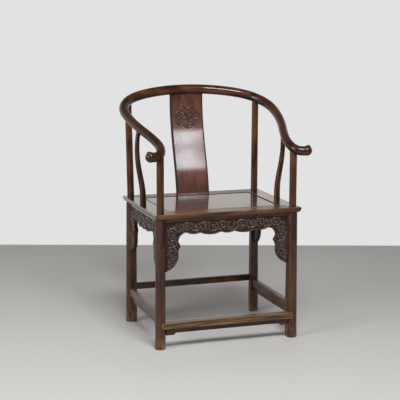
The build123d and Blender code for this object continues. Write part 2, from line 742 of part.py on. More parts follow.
with BuildPart() as side_spandrel_front_right:
    add(behind(side_spandrel_rear_right.part))

with BuildPart() as rear_apron:
    with BuildSketch(Plane(origin=(0, FRONT_FACE, FRAME_BOTTOM), x_dir=(1, 0, 0), z_dir=(0, -1, 0))):
        with BuildLine():
            drop_x = LEG_FACE_X - REAR_DROP_W
            low = -REAR_APRON_H - REAR_DROP
            Polyline((0, -REAR_APRON_H), (0, 0), (LEG_FACE_X, 0), (LEG_FACE_X, low))
            ThreePointArc(
                (LEG_FACE_X, low),
                (LEG_FACE_X - REAR_DROP_TURN[0], low + REAR_DROP_TURN[1]),
                (drop_x, -REAR_APRON_H),
            )
            Line((drop_x, -REAR_APRON_H), (0, -REAR_APRON_H))
        make_face()
        mirror(about=Plane.YZ)
    extrude(amount=APRON_T)
    add(block(*REAR_TOP_TONGUE))
    add(block(*REAR_TONGUE))
    add(across(block(*REAR_TONGUE)))

# ---------------------------------------------------------------- stepped stretchers
with BuildPart() as footrest:
    xs, ys = (-FOOT_EAR, FOOT_EAR), (FOOT_FRONT, FOOT_BACK)
    add(block(xs, ys, (FOOT_TOP - FOOT_T, FOOT_TOP)))
    fillet(footrest.edges().filter_by(Axis.Z).sort_by(Axis.Y)[:2], FOOT_EAR_ROUND)
    fillet(footrest.edges().group_by(Axis.Z)[-1], FOOT_ROUND)
    add(leg_blank.part, mode=Mode.SUBTRACT)
    add(across(leg_blank.part), mode=Mode.SUBTRACT)
    for side in (-1, 1):
        xs = about(side * (LEG_FACE_X + FOOT_EAR) / 2, FOOT_EAR - LEG_FACE_X)
        add(block(xs, (-POST_Y, 0), (0, FOOT_TOP), FIT), mode=Mode.SUBTRACT)
    add(block(*FOOT_TENON))
    add(across(block(*FOOT_TENON)))
    add(block(*FOOT_APRON_TONGUE, FIT), mode=Mode.SUBTRACT)

with BuildPart() as side_stretcher_right:
    zs = (SIDE_STR_TOP - SIDE_STR_T, SIDE_STR_TOP)
    add(block(about(POST_X, SIDE_STR_W), (-LEG_FACE_Y, LEG_FACE_Y), zs))
    fillet(side_stretcher_right.edges().filter_by(Axis.Y).group_by(Axis.Z)[-1], STR_ROUND)
    add(block(*SIDE_TENON))
    add(behind(block(*SIDE_TENON)))
    add(block(*SIDE_APRON_TONGUE, FIT), mode=Mode.SUBTRACT)

with BuildPart() as rear_stretcher:
    zs = (REAR_STR_TOP - REAR_STR_T, REAR_STR_TOP)
    add(block((-LEG_FACE_X, LEG_FACE_X), about(POST_Y, REAR_STR_W), zs))
    fillet(rear_stretcher.edges().filter_by(Axis.X).group_by(Axis.Z)[-1], STR_ROUND)
    add(block(*REAR_TENON))
    add(across(block(*REAR_TENON)))

with BuildPart() as footrest_apron:
    face = (0, FOOT_APRON_Y - LOW_APRON_T / 2, FOOT_TOP - FOOT_T)
    with BuildSketch(Plane(origin=face, x_dir=(1, 0, 0), z_dir=(0, -1, 0))):
        with BuildLine():
            lobe_x = LEG_FACE_X - FOOT_APRON_LOBE_L
            low = -FOOT_APRON_H - FOOT_APRON_LOBE
            foot, turn, step = [(lobe_x + out, low + up) for out, up in FOOT_LOBE_ARC]
            shoulder = (lobe_x - FOOT_LOBE_STEP, -FOOT_APRON_H)
            Polyline((0, -FOOT_APRON_H), (0, 0), (LEG_FACE_X, 0), (LEG_FACE_X, low), foot)
            ThreePointArc(foot, turn, step)
            Polyline(step, shoulder, (0, -FOOT_APRON_H))
        make_face()
        mirror(about=Plane.YZ)
    extrude(amount=-LOW_APRON_T)
    add(block(*FOOT_APRON_TONGUE))

with BuildPart() as side_stretcher_apron_right:
    top = SIDE_STR_TOP - SIDE_STR_T
    add(block(about(POST_X, LOW_APRON_T), (-LEG_FACE_Y, LEG_FACE_Y), (top - SIDE_APRON_H, top)))
    add(block(*SIDE_APRON_TONGUE))

# ---------------------------------------------------------------- the left side mirrors the right
right_side = {
    "crest_side": crest_side_right,
    "handgrip": handgrip_right,
    "front_leg": front_leg_right,
    "rear_leg": rear_leg_right,
    "side_post": side_post_right,
    "seat_rail": seat_rail_right,
    "seat_batten": seat_batten_right,
    "front_spandrel": front_spandrel_right,
    "side_apron": side_apron_right,
    "side_spandrel_front": side_spandrel_front_right,
    "side_spandrel_rear": side_spandrel_rear_right,
    "side_stretcher": side_stretcher_right,
    "side_stretcher_apron": side_stretcher_apron_right,
}
pieces = {
    "crest_centre": crest_centre,
    "crest_scarf_keys": crest_scarf_keys,
    "back_splat": back_splat,
    "seat_rail_front": seat_rail_front,
    "seat_rail_rear": seat_rail_rear,
    "seat_panel": seat_panel,
    "front_apron": front_apron,
    "rear_apron": rear_apron,
    "footrest": footrest,
    "footrest_apron": footrest_apron,
    "rear_stretcher": rear_stretcher,
}
for name, right in right_side.items():
    with BuildPart() as left:
        add(across(right.part))
    pieces[name + "_right"] = right
    pieces[name + "_left"] = left

# The shared origin is on the floor under the middle of the whole chair.
ORIGIN_Y = (CREST_BACK[1] + CREST_RADII[0][1] + CREST_HALF[-1][1] - GRIP_BALL_R) / 2

for name, piece in pieces.items():
    placed = piece.part.moved(Location((0, -ORIGIN_Y, 0)))
    placed.label = name
    export_step(placed, f"parts/{name}.step")
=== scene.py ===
"""Horseshoe back armchair in dark polished hardwood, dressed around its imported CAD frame.

Lengths are metres unless a name ends in _mm. +Z is up, the chair faces -Y and +X is its right side
as seen by someone who faces it. The joinery itself comes from the frame and gets its timber here;
the low relief on the aprons, spandrels and splat is carved here.
"""

import logging
import math
from collections.abc import Callable
from dataclasses import dataclass, field, replace
from enum import Enum

import bpy
from bpy.types import Material, Mesh, MeshEdge, Node, NodeTree, Object
from bpy.types import NodeSocket as Socket
from mathutils import Euler, Matrix, Vector


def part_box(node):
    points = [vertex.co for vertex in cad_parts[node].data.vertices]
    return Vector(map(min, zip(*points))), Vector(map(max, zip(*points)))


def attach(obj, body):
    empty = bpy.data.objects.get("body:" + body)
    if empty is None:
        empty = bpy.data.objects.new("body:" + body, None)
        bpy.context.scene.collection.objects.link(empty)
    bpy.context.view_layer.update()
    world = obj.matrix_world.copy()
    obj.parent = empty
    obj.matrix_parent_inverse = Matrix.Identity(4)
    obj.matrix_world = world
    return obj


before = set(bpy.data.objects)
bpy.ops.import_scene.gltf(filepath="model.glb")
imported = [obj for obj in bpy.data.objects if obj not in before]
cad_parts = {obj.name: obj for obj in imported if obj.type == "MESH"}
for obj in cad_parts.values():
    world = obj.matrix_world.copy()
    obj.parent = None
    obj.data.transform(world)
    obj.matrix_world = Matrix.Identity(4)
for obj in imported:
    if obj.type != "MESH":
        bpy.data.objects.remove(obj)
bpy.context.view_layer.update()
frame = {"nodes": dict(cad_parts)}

log = logging.getLogger("armchair")

MM = 0.001
ROOT = "root"
HEIGHT = "relief_height"

TOWARDS_VIEWER = (0.0, -1.0, 0.0)
WELD = 0.00001

Colour = tuple[float, float, float]
Point = tuple[float, float, float]
Band = tuple[float, float]


class Grain(Enum):
    """Way in which a board's grain runs in the chair."""

    ACROSS = (1.0, 0.0, 0.0)
    DEEP = (0.0, 1.0, 0.0)
    UPRIGHT = (0.0, 0.0, 1.0)
    REAR_POST = (0.0, 0.13, 1.0)
    SPLAT = (0.0, 0.3, 1.0)
    SHOULDER_RIGHT = (0.18, -0.95, -0.34)
    SHOULDER_LEFT = (-0.18, -0.95, -0.34)
    GRIP_RIGHT = (0.12, -0.95, -0.32)
    GRIP_LEFT = (-0.12, -0.95, -0.32)


@dataclass(frozen=True)
class Pattern:
    """Noise laid along the grain, and the band of its values over which it fades in."""

    squeeze: Point
    scale: float
    detail: float
    twist: float
    band: Band


FIGURE = Pattern((0.9, 9.0, 9.0), 7.0, 4.0, 0.9, band=(0.36, 0.64))
STREAKS = Pattern((2.5, 70.0, 70.0), 6.0, 3.0, 0.3, band=(0.44, 0.30))
PORES = Pattern((22.0, 420.0, 420.0), 6.0, 2.0, 0.0, band=(0.36, 0.28))
CLOUDS = Pattern((1.0, 2.2, 2.2), 8.0, 3.0, 0.6, band=(0.42, 0.72))
RUBS = Pattern((1.0, 26.0, 26.0), 9.0, 6.0, 0.3, band=(0.46, 0.60))
SCUFFS = Pattern((0.7, 2.6, 2.6), 26.0, 5.0, 0.6, band=(0.44, 0.60))
SPECKS = Pattern((1.0, 1.0, 1.0), 160.0, 3.0, 0.0, band=(0.35, 0.6))


@dataclass
class NodeBoard:
    """Small helper that lays out the nodes of a material or of the surround."""

    tree: NodeTree

    def add(
        self, kind: str, *inputs: Socket | float | tuple[float, ...], **properties: object
    ) -> Node:
        """Adds a node.

        Args:
            kind: Blender's name of the node type.
            *inputs: for each of its first inputs a value, or the output that it is joined to.
            **properties: its plain properties, by name.

        Returns:
            The new node.
        """
        node = self.tree.nodes.new(kind)
        for name, value in properties.items():
            setattr(node, name, value)
        for source, target in zip(inputs, node.inputs):
            if isinstance(source, Socket):
                self.link(source, target)
            else:
                target.default_value = source
        return node

    def link(self, source: Socket, target: Socket) -> None:
        """Joins an output to an input."""
        self.tree.links.new(source, target)

    def noise(self, vector: Socket, pattern: Pattern) -> Socket:
        """Lays a noise pattern.

        Args:
            vector: coordinates that the pattern reads.
            pattern: its shape.

        Returns:
            The pattern's value, from 0 to 1.
        """
        squeezed = self.add("ShaderNodeMapping", vector)
        squeezed.inputs["Scale"].default_value = pattern.squeeze
        node = self.add("ShaderNodeTexNoise", squeezed.outputs["Vector"])
        node.inputs["Scale"].default_value = pattern.scale
        node.inputs["Detail"].default_value = pattern.detail
        node.inputs["Distortion"].default_value = pattern.twist
        return node.outputs["Fac"]

    def span(
        self, value: Socket, low: float, high: float, start: float = 0.0, end: float = 1.0
    ) -> Socket:
        """Returns the value mapped from low..high to start..end, clamped."""
        return self.add("ShaderNodeMapRange", value, low, high, start, end).outputs["Result"]

    def calculate(self, operation: str, *values: Socket) -> Socket:
        """Returns the outcome of one of Blender's calculations with one value or two."""
        return self.add("ShaderNodeMath", *values, operation=operation).outputs["Value"]

    def axis(self, vector: Socket, name: str) -> Socket:
        """Returns one coordinate of a vector: X, Y or Z."""
        return self.add("ShaderNodeSeparateXYZ", vector).outputs[name]

    def mix(self, share: Socket, first: Socket | Colour, second: Socket | Colour) -> Socket:
        """Mixes two colours.

        Args:
            share: how much of the second one shows.
            first: a colour, or a socket that gives one.
            second: the same.

        Returns:
            The mixed colour.
        """
        node = self.add("ShaderNodeMix", share, data_type="RGBA", blend_type="MIX")
        for socket, colour in ((node.inputs[6], first), (node.inputs[7], second)):
            if isinstance(colour, tuple):
                socket.default_value = (*colour, 1.0)
            else:
                self.link(colour, socket)
        return node.outputs[2]


SEED_SHIFT = (0.37, 0.21, 0.53)
STREAK_DARKNESS, STREAK_SHARE = 0.35, 0.62
PORE_DARKNESS, PORE_SHARE = 0.25, 0.75
GLOSS_BAND = (0.3, 0.7)
DULL_STREAK, BRIGHT_STREAK = 0.06, 0.05
PORE_WALLS = (0.28, 0.40)
PORE_STRENGTH, PORE_DEPTH = 0.22, 0.0006
COAT_IOR = 1.5

FOOT_HEIGHTS = (0.055, 0.004)
RIM_FADE, RIM_SHARE = 0.001, 0.85
# Painted shade: the relief darkens from the first share of its height down to the second.
HOLLOW_SHADE_BAND = (0.93, 0.50)
# Slopes of the upward faces where a grey dusty film shows, which also stands in for painted glint.
DUST_AND_GLINT_SLOPES = (0.15, 0.9)

RUBBED_WOOD = (0.33, 0.20, 0.10)
FOOT_WOOD = (0.30, 0.19, 0.09)
# Painted shade along the splat's side edges.
RIM_SHADE = (0.010, 0.005, 0.004)
# Painted shade in the low parts of the relief.
PAINTED_HOLLOW_SHADE = (0.006, 0.004, 0.003)
# Grey of a dusty film that also stands in for painted glints.
DUST_AND_GLINT_GREY = (0.30, 0.27, 0.24)


@dataclass(frozen=True)
class Timber:
    """Dark hardwood with fine streaks, open pores and a hand-rubbed polish."""

    name: str
    dark: Colour
    body: Colour
    flame: Colour
    roughness: float
    polish: float
    polish_roughness: float
    flame_share: float = 0.35
    # Grey dusty film on upward faces, partly painted glint.
    dust_and_glint: float = 0.0
    wear: float = 0.0
    # Painted shade: how dark the low parts of the relief turn.
    painted_hollow_shade: float = 0.0
    base_gloss: float = 0.25
    # Painted shade: beyond this distance from the middle, the board's sides turn near black and
    # lose their coat.
    shaded_rim_beyond: float = 0.0
    foot_wear: float = 0.0

    def material(self, grain: Grain, seed: float) -> Material:
        """Makes the timber for one way of the grain.

        Args:
            grain: the direction in which the streaks run.
            seed: shifts the pattern, so that boards differ.

        Returns:
            The new material.
        """
        material = bpy.data.materials.new(f"{self.name}_{grain.name.lower()}_{int(seed)}")
        material.use_nodes = True
        board = NodeBoard(material.node_tree)
        shader = material.node_tree.nodes["Principled BSDF"]
        place = board.add("ShaderNodeTexCoord").outputs["Object"]
        shift = tuple(step * seed for step in SEED_SHIFT)
        turn = tuple(Vector(grain.value).to_track_quat("X", "Z").to_euler())
        laid = board.add("ShaderNodeMapping", place, shift, turn, vector_type="TEXTURE")
        along = laid.outputs["Vector"]
        streaks = board.noise(along, STREAKS)
        pores = board.noise(along, PORES)

        colour = self.marked(board, place, along, self.streaked(board, along, streaks, pores))
        gloss = board.span(
            streaks, *GLOSS_BAND, self.roughness + DULL_STREAK, self.roughness - BRIGHT_STREAK
        )
        # Painted shade along the board's side edges: near-black colour there, with no coat and a
        # dull finish.
        if self.shaded_rim_beyond:
            offset = board.calculate("ABSOLUTE", board.axis(place, "X"))
            inside = self.shaded_rim_beyond - RIM_FADE
            rim = board.span(offset, inside, self.shaded_rim_beyond, 0.0, RIM_SHARE)
            colour = board.mix(rim, colour, RIM_SHADE)
            coat = board.span(rim, 0.0, RIM_SHARE, self.polish, 0.0)
            board.link(coat, shader.inputs["Coat Weight"])
            gloss = board.calculate("MAXIMUM", gloss, rim)
        else:
            shader.inputs["Coat Weight"].default_value = self.polish
        board.link(colour, shader.inputs["Base Color"])
        board.link(gloss, shader.inputs["Roughness"])
        shader.inputs["Specular IOR Level"].default_value = self.base_gloss
        shader.inputs["Coat Roughness"].default_value = self.polish_roughness
        shader.inputs["Coat IOR"].default_value = COAT_IOR

        relief = board.add("ShaderNodeBump", PORE_STRENGTH, PORE_DEPTH)
        board.link(board.span(pores, *PORE_WALLS), relief.inputs["Height"])
        board.link(relief.outputs["Normal"], shader.inputs["Normal"])
        return material

    def streaked(self, board: NodeBoard, along: Socket, streaks: Socket, pores: Socket) -> Socket:
        """Colours fresh wood: broad bands, warm clouds, dark streaks and pores.

        Args:
            board: the material's nodes.
            along: coordinates along the grain.
            streaks: the streaks' pattern.
            pores: the pores' pattern.

        Returns:
            The wood's colour.
        """
        bands = board.mix(
            board.span(board.noise(along, FIGURE), *FIGURE.band), self.dark, self.body
        )
        clouds = board.span(board.noise(along, CLOUDS), *CLOUDS.band, 0.0, self.flame_share)
        flamed = board.mix(clouds, bands, self.flame)
        lined = board.mix(
            board.span(streaks, *STREAKS.band, 0.0, STREAK_SHARE),
            flamed,
            tuple(STREAK_DARKNESS * c for c in self.dark),
        )
        return board.mix(
            board.span(pores, *PORES.band, 0.0, PORE_SHARE),
            lined,
            tuple(PORE_DARKNESS * c for c in self.dark),
        )

    def marked(self, board: NodeBoard, place: Socket, along: Socket, colour: Socket) -> Socket:
        """Adds rubbed patches and scuffed feet that use leaves on the wood, painted shade in the
        low parts of the relief, and a grey dusty film mixed with painted glint on upward faces.

        Args:
            board: the material's nodes.
            place: coordinates in the chair.
            along: coordinates along the grain.
            colour: the fresh wood's colour.

        Returns:
            The used wood's colour.
        """
        if self.wear:
            rubbed = board.span(board.noise(along, RUBS), *RUBS.band, 0.0, self.wear)
            colour = board.mix(rubbed, colour, RUBBED_WOOD)
        if self.foot_wear:
            low = board.span(board.axis(place, "Z"), *FOOT_HEIGHTS)
            scuffs = board.span(board.noise(along, SCUFFS), *SCUFFS.band, 0.0, self.foot_wear)
            colour = board.mix(board.calculate("MULTIPLY", low, scuffs), colour, FOOT_WOOD)
        # Painted shade: the lower a point of the relief stands, the darker it is painted.
        if self.painted_hollow_shade:
            height = board.add("ShaderNodeAttribute", attribute_name=HEIGHT).outputs["Fac"]
            hollow = board.span(height, *HOLLOW_SHADE_BAND, 0.0, self.painted_hollow_shade)
            colour = board.mix(hollow, colour, PAINTED_HOLLOW_SHADE)
        # A grey dusty film on upward faces, which also stands in for painted glints on the ridges.
        if self.dust_and_glint:
            facing = board.add("ShaderNodeNewGeometry").outputs["Normal"]
            facing_up = board.span(board.axis(facing, "Z"), *DUST_AND_GLINT_SLOPES)
            specks = board.span(board.noise(along, SPECKS), *SPECKS.band, 0.0, self.dust_and_glint)
            colour = board.mix(board.calculate("MULTIPLY", facing_up, specks), colour, DUST_AND_GLINT_GREY)
        return colour


# Width of the painted shade along the splat's side edges.
RIM_WIDTH = 0.0060
SPLAT_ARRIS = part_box("back_splat")[1].x - RIM_WIDTH

FRAME_TIMBER = Timber(
    name="dark_hardwood",
    dark=(0.014, 0.005, 0.003),
    body=(0.074, 0.025, 0.009),
    flame=(0.190, 0.068, 0.021),
    roughness=0.36,
    polish=0.38,
    polish_roughness=0.12,
    flame_share=0.5,
)
CREST_TIMBER = Timber(
    name="crest_hardwood",
    dark=(0.016, 0.006, 0.004),
    body=(0.088, 0.027, 0.010),
    flame=(0.185, 0.056, 0.017),
    roughness=0.38,
    polish=0.58,
    polish_roughness=0.08,
    flame_share=0.55,
    base_gloss=0.12,
)
ARM_TIMBER = replace(
    CREST_TIMBER,
    name="arm_hardwood",
    dark=(0.011, 0.005, 0.003),
    body=(0.042, 0.016, 0.008),
    flame=(0.100, 0.037, 0.015),
)
LEG_TIMBER = replace(FRAME_TIMBER, name="leg_hardwood", foot_wear=0.7)
RAIL_TIMBER = replace(
    FRAME_TIMBER,
    name="rail_hardwood",
    dark=(0.024, 0.010, 0.006),
    body=(0.130, 0.050, 0.021),
    flame=(0.300, 0.130, 0.056),
)
STRETCHER_TIMBER = replace(
    FRAME_TIMBER,
    name="stretcher_hardwood",
    dark=(0.016, 0.009, 0.005),
    body=(0.090, 0.050, 0.025),
    flame=(0.200, 0.127, 0.067),
    # Grey dusty film on upward faces, partly painted glint.
    dust_and_glint=0.55,
)
SPLAT_TIMBER = Timber(
    name="splat_hardwood",
    dark=(0.030, 0.008, 0.006),
    body=(0.112, 0.026, 0.014),
    flame=(0.240, 0.054, 0.021),
    roughness=0.46,
    base_gloss=0.6,
    polish=0.9,
    polish_roughness=0.10,
    flame_share=0.6,
    # Painted shade along the splat's side edges.
    shaded_rim_beyond=SPLAT_ARRIS,
)
SEAT_TIMBER = Timber(
    name="seat_board",
    dark=(0.018, 0.007, 0.004),
    body=(0.052, 0.018, 0.009),
    flame=(0.090, 0.034, 0.016),
    roughness=0.25,
    polish=0.95,
    polish_roughness=0.05,
)
# Painted shade: the carved boards' ground gets a darker wood than the relief on it, standing for
# shade between the stems.
SHADED_GROUND_TIMBER = Timber(
    name="carved_hardwood",
    dark=(0.016, 0.008, 0.006),
    body=(0.038, 0.017, 0.011),
    flame=(0.062, 0.027, 0.016),
    roughness=0.50,
    polish=0.15,
    polish_roughness=0.3,
)
# Painted light: a lighter copy of the ground's wood, so that the raised stems read as lit.
LIT_RELIEF_TIMBER = Timber(
    name="lit_relief_hardwood",
    dark=(0.055, 0.025, 0.016),
    body=(0.100, 0.046, 0.030),
    flame=(0.165, 0.078, 0.050),
    roughness=0.30,
    polish=0.8,
    polish_roughness=0.14,
    # Grey dusty film on upward faces, partly painted glint.
    dust_and_glint=0.60,
    # Painted shade in the low parts of the relief.
    painted_hollow_shade=0.85,
)
EDGE_TIMBER = Timber(
    name="edge_hardwood",
    dark=(0.030, 0.013, 0.009),
    body=(0.075, 0.033, 0.020),
    flame=(0.130, 0.060, 0.035),
    roughness=0.30,
    polish=0.7,
    polish_roughness=0.16,
    # Grey dusty film on upward faces, partly painted glint.
    dust_and_glint=0.3,
)
# Partly painted highlight: lighter than the splat it is cut from, so that the ridges read as
# catching the light.
LIT_MEDALLION_TIMBER = Timber(
    name="medallion_hardwood",
    dark=(0.080, 0.036, 0.028),
    body=(0.150, 0.065, 0.048),
    flame=(0.230, 0.100, 0.070),
    roughness=0.36,
    polish=0.9,
    polish_roughness=0.26,
    # Painted shade in the low parts of the medallion.
    painted_hollow_shade=0.9,
    base_gloss=0.5,
)
WORN_TIMBER = Timber(
    name="worn_hardwood",
    dark=(0.030, 0.012, 0.006),
    body=(0.100, 0.045, 0.019),
    flame=(0.190, 0.100, 0.045),
    roughness=0.38,
    polish=0.4,
    polish_roughness=0.2,
    wear=0.55,
)

LEFT_SEED = 7.0


@dataclass(frozen=True)
class Board:
    """One CAD piece, the timber it is cut from and the way its grain runs."""

    node: str
    timber: Timber
    grain: Grain
    seed: float


def both(
    stem: str, timber: Timber, grain: Grain, seed: float, left: Grain | None = None
) -> list[Board]:
    """Lists the right and left boards of a pair.

    Args:
        stem: the nodes' name without its side.
        timber: what both are cut from.
        grain: the grain of the right one.
        seed: shifts the pattern of the right one; the left one differs from it.
        left: the grain of the left one, where it is another.

    Returns:
        The two boards.
    """
    return [
        Board(f"{stem}_right", timber, grain, seed),
        Board(f"{stem}_left", timber, left or grain, seed + LEFT_SEED),
    ]


BOARDS = (
    Board("crest_centre", CREST_TIMBER, Grain.ACROSS, 1.0),
    *both("crest_side", ARM_TIMBER, Grain.SHOULDER_RIGHT, 2.0, Grain.SHOULDER_LEFT),
    *both("handgrip", ARM_TIMBER, Grain.GRIP_RIGHT, 3.0, Grain.GRIP_LEFT),
    Board("crest_scarf_keys", FRAME_TIMBER, Grain.UPRIGHT, 4.0),
    Board("back_splat", SPLAT_TIMBER, Grain.SPLAT, 5.0),
    *both("front_leg", LEG_TIMBER, Grain.UPRIGHT, 6.0),
    *both("rear_leg", LEG_TIMBER, Grain.REAR_POST, 7.0),
    *both("side_post", FRAME_TIMBER, Grain.UPRIGHT, 8.0),
    Board("seat_rail_front", RAIL_TIMBER, Grain.ACROSS, 9.0),
    Board("seat_rail_rear", FRAME_TIMBER, Grain.ACROSS, 10.0),
    *both("seat_rail", SEAT_TIMBER, Grain.DEEP, 11.0),
    Board("seat_panel", SEAT_TIMBER, Grain.ACROSS, 12.0),
    *both("seat_batten", FRAME_TIMBER, Grain.DEEP, 13.0),
    # The carved boards take the darker ground timber: painted shade between the relief.
    Board("front_apron", SHADED_GROUND_TIMBER, Grain.ACROSS, 14.0),
    *both("front_spandrel", SHADED_GROUND_TIMBER, Grain.UPRIGHT, 15.0),
    *both("side_apron", SHADED_GROUND_TIMBER, Grain.DEEP, 16.0),
    *both("side_spandrel_front", SHADED_GROUND_TIMBER, Grain.UPRIGHT, 17.0),
    *both("side_spandrel_rear", SHADED_GROUND_TIMBER, Grain.UPRIGHT, 18.0),
    Board("rear_apron", FRAME_TIMBER, Grain.ACROSS, 19.0),
    Board("footrest", WORN_TIMBER, Grain.ACROSS, 20.0),
    Board("footrest_apron", FRAME_TIMBER, Grain.ACROSS, 21.0),
    *both("side_stretcher", STRETCHER_TIMBER, Grain.DEEP, 22.0),
    *both("side_stretcher_apron", FRAME_TIMBER, Grain.DEEP, 23.0),
    Board("rear_stretcher", FRAME_TIMBER, Grain.ACROSS, 24.0),
)


@dataclass
class Joinery:
    """The chair's joined frame, as the CAD gives it, and what each piece is cut from."""

    nodes: dict[str, Object]
    boards: tuple[Board, ...] = BOARDS

    def dress(self) -> None:
        """Gives each piece of the frame its timber."""
        for board in self.boards:
            material = board.timber.material(board.grain, board.seed)
            slots = self.nodes[board.node].data.materials
            slots.clear()
            slots.append(material)
            log.info("%s: %s", board.node, material.name)


@dataclass(frozen=True)
class Coil:
    """One circle of a vine, placed from the one before it."""

    radius: float
    bearing_deg: float


def coils(*rows: tuple[float, float]) -> list[Coil]:
    """Lists coils from their radii in millimetres and their bearings."""
    return [Coil(radius * MM, bearing) for radius, bearing in rows]


SPANDREL_ROWS = ((17.5, -38.0), (17.5, -91.0), (17.5, -90.0), (16.0, -88.0), (9.0, -62.0))
FRONT_COILS = coils(
    (19.5, 0.0),
    (19.0, 2.0),
    (17.5, 2.5),
    (17.0, 1.5),
    (16.5, 0.5),
    (16.5, -2.0),
    *SPANDREL_ROWS,
)
SIDE_COILS = coils((20.5, 0.0), (20.0, 5.0), (18.0, 6.0), (17.0, 0.0), *SPANDREL_ROWS)

# Quarter turns of a curl: each one's radius, as a share of the curl's, and its taper.
CURL_QUARTERS = ((1.0, 1.2), (0.80, 1.1), (0.62, 1.0), (0.45, 0.95), (0.31, 0.9), (0.21, 0.85))


@dataclass
class Chisel:
    """Cuts rounded stems by spinning a small ring in the XZ plane; -Y faces the viewer."""

    ring_sides: int = 8
    step_deg: float = 18.0

    def start(self, name: str, at: Vector, heading: Vector, radius: float) -> Object:
        """Opens a new stem.

        Args:
            name: the new object's name.
            at: where the stem starts.
            heading: the way it sets out.
            radius: half its width there.

        Returns:
            The stem, in edit mode with its free end selected.
        """
        bpy.ops.object.select_all(action="DESELECT")
        bpy.ops.mesh.primitive_circle_add(
            vertices=self.ring_sides,
            radius=radius,
            fill_type="NOTHING",
            location=at,
            rotation=heading.to_track_quat("Z", "Y").to_euler(),
        )
        stem = bpy.context.object
        stem.name = name
        bpy.ops.object.transform_apply(location=True, rotation=True, scale=True)
        bpy.ops.object.mode_set(mode="EDIT")
        bpy.ops.mesh.select_mode(type="VERT")
        bpy.ops.mesh.select_all(action="SELECT")
        return stem

    def turn(self, end: Vector, centre: Vector, angle: float, taper: float = 1.0) -> Vector:
        """Carries the free end round a centre.

        Args:
            end: the middle of the free end.
            centre: what it turns about.
            angle: in radians, positive from +X towards +Z.
            taper: width at the end of the turn, as a share of the width before it.

        Returns:
            The middle of the new free end.
        """
        steps = max(1, math.ceil(abs(math.degrees(angle)) / self.step_deg))
        share = taper ** (1.0 / steps)
        step = Matrix.Rotation(angle / steps, 3, TOWARDS_VIEWER)
        for _ in range(steps):
            bpy.ops.mesh.spin(steps=1, angle=-angle / steps, center=centre, axis=TOWARDS_VIEWER)
            end = centre + step @ (end - centre)
            bpy.ops.transform.resize(value=(share, share, share), center_override=end)
        return end

    def close(self) -> None:
        """Caps both ends of the stem and turns its faces outwards."""
        bpy.ops.mesh.select_all(action="SELECT")
        bpy.ops.mesh.remove_doubles(threshold=WELD)
        bpy.ops.mesh.select_all(action="SELECT")
        bpy.ops.mesh.fill_holes(sides=0)
        bpy.ops.mesh.normals_make_consistent(inside=False)
        bpy.ops.object.mode_set(mode="OBJECT")


QUARTER = math.radians(90.0)


def joined(pieces: list[Object]) -> Object:
    """Joins pieces.

    Args:
        pieces: the pieces, all in object mode.

    Returns:
        The first of them, which the others are now part of.
    """
    bpy.ops.object.select_all(action="DESELECT")
    for piece in pieces:
        piece.select_set(True)
    bpy.context.view_layer.objects.active = pieces[0]
    bpy.ops.object.join()
    return pieces[0]


def beside(heading: Vector) -> Vector:
    """Returns the heading a quarter turn on, from +X towards +Z."""
    return Vector((-heading.z, 0.0, heading.x))


def square_to(spoke: Vector, side: int) -> Vector:
    """Returns the way a stem runs at the end of a spoke; side 1 turns from +X towards +Z."""
    return (beside(spoke) * side).normalized()


def ray_at(bearing: float) -> Vector:
    """Returns the way out from a coil's middle; the bearing goes from +X towards +Z."""
    return Vector((math.cos(bearing), 0.0, math.sin(bearing)))


def swung(heading: Vector, angle: float) -> Vector:
    """Returns a heading turned by an angle in radians, from +X towards +Z."""
    return Matrix.Rotation(angle, 3, TOWARDS_VIEWER) @ heading


@dataclass(frozen=True)
class Rim:
    """Part of a coil's rim: the bearing where it begins and how far it goes, in radians."""

    centre: Vector
    radius: float
    first: float
    sweep: float


